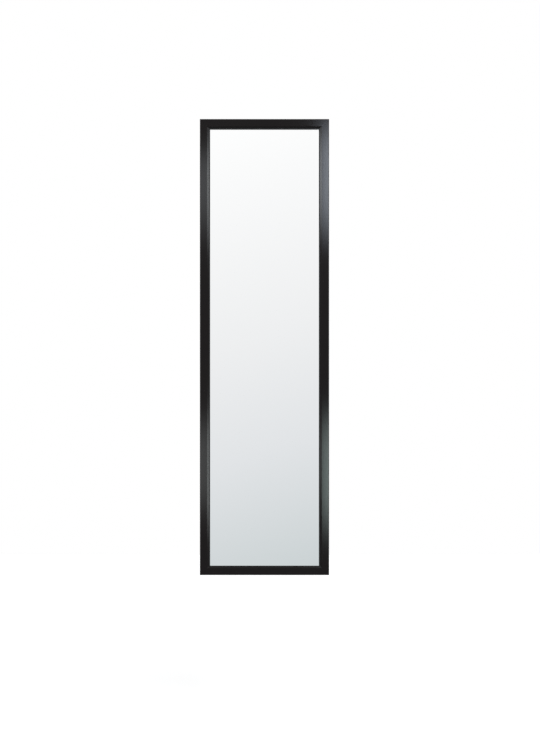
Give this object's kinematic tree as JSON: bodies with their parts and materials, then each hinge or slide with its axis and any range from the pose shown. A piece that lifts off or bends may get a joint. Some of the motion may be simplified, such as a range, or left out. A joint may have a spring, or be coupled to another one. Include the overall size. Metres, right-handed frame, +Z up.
{
  "type": "pull out closet mirror",
  "caption": "Framed full-length mirror hinged to an arm on a ball-bearing slide: it pulls out of a wardrobe along its side panel and swivels to face forward.",
  "frame": {"origin": "middle of the wall channel's back face, where it lies on the wardrobe's side panel", "axes": "+X the way the mirror pulls out, -Y the way the glass faces when stowed, +Z up"},
  "size_m": [0.34, 0.0395, 1.2],
  "materials": {
    "frame_extrusion": "black anodised, satin",
    "corner_key_casting": "die cast, plain",
    "black_screw_steel": "black oxide",
    "gasket_rubber": "matt black",
    "silvered_glass": "polished, silvered on the back",
    "film_plastic": "grey woven film",
    "board_fibre": "hardboard, smooth side out",
    "bead_plastic": "black PVC",
    "black_powder_steel": "black powder coat, fine texture",
    "zinc_steel": "bright zinc plate",
    "pin_steel": "ground stainless",
    "acetal": "natural acetal",
    "nickel": "nickel plate",
    "buffer_rubber": "matt black",
    "cage_steel": "pressed, zinc plate",
    "ball_steel": "ground and polished",
    "black_nylon": "moulded, fine matt"
  },
  "bodies": {
    "wall_unit": {"wall_channel": "black_powder_steel", "channel_front_cap": "black_nylon", "channel_rear_cap": "black_nylon", "slide_outer_member": "zinc_steel", "slide_rivets": "zinc_steel", "slide_bumper": "buffer_rubber"},
    "middle_member": {"slide_middle_member": "zinc_steel"},
    "outer_cage": {"outer_ball_cage": "cage_steel", "outer_cage_balls": "ball_steel"},
    "inner_cage": {"inner_ball_cage": "cage_steel", "inner_cage_balls": "ball_steel"},
    "carriage": {"slide_inner_member": "zinc_steel", "carriage_stop": "black_nylon", "swivel_arm": "black_powder_steel", "swivel_bush_upper": "acetal", "swivel_bush_lower": "acetal", "arm_screws": "zinc_steel", "catch_magnet": "nickel", "arm_buffer_upper": "buffer_rubber", "arm_buffer_lower": "buffer_rubber"},
    "mirror": {"frame_left_stile": "frame_extrusion", "frame_right_stile": "frame_extrusion", "frame_top_rail": "frame_extrusion", "frame_bottom_rail": "frame_extrusion", "corner_key_bottom_left": "corner_key_casting", "corner_key_bottom_right": "corner_key_casting", "corner_key_top_right": "corner_key_casting", "corner_key_top_left": "corner_key_casting", "corner_set_screws": "black_screw_steel", "glazing_gasket_left": "gasket_rubber", "glazing_gasket_right": "gasket_rubber", "glazing_gasket_top": "gasket_rubber", "glazing_gasket_bottom": "gasket_rubber", "mirror_glass": "silvered_glass", "safety_film": "film_plastic", "backing_board": "board_fibre", "retaining_bead_left": "bead_plastic", "retaining_bead_right": "bead_plastic", "retaining_bead_top": "bead_plastic", "retaining_bead_bottom": "bead_plastic", "front_nut_strip": "zinc_steel", "rear_nut_strip": "zinc_steel", "hinge_plate": "black_powder_steel", "hinge_plate_screws": "black_screw_steel", "hinge_pin": "pin_steel", "pin_circlip": "black_screw_steel", "friction_washer_upper": "acetal", "friction_washer_lower": "acetal"}
  },
  "joints": [
    {"name": "pull_out", "type": "slide", "parent": "wall_unit", "child": "carriage", "axis": [1, 0, 0], "range_m": [0, 0.3]},
    {"name": "middle_slide", "type": "slide", "parent": "wall_unit", "child": "middle_member", "axis": [1, 0, 0], "range_m": [0, 0.15]},
    {"name": "outer_cage_slide", "type": "slide", "parent": "wall_unit", "child": "outer_cage", "axis": [1, 0, 0], "range_m": [0, 0.075]},
    {"name": "inner_cage_slide", "type": "slide", "parent": "wall_unit", "child": "inner_cage", "axis": [1, 0, 0], "range_m": [0, 0.225]},
    {"name": "swivel", "type": "hinge", "parent": "carriage", "child": "mirror", "pos_m": [0.163, -0.0151, 0], "axis": [0, 0, 1], "range_deg": [0, 120]}
  ],
  "couplings": [
    {"joint": "middle_slide", "follows": "pull_out", "ratio": 0.5},
    {"joint": "outer_cage_slide", "follows": "pull_out", "ratio": 0.25},
    {"joint": "inner_cage_slide", "follows": "pull_out", "ratio": 0.75}
  ]
}
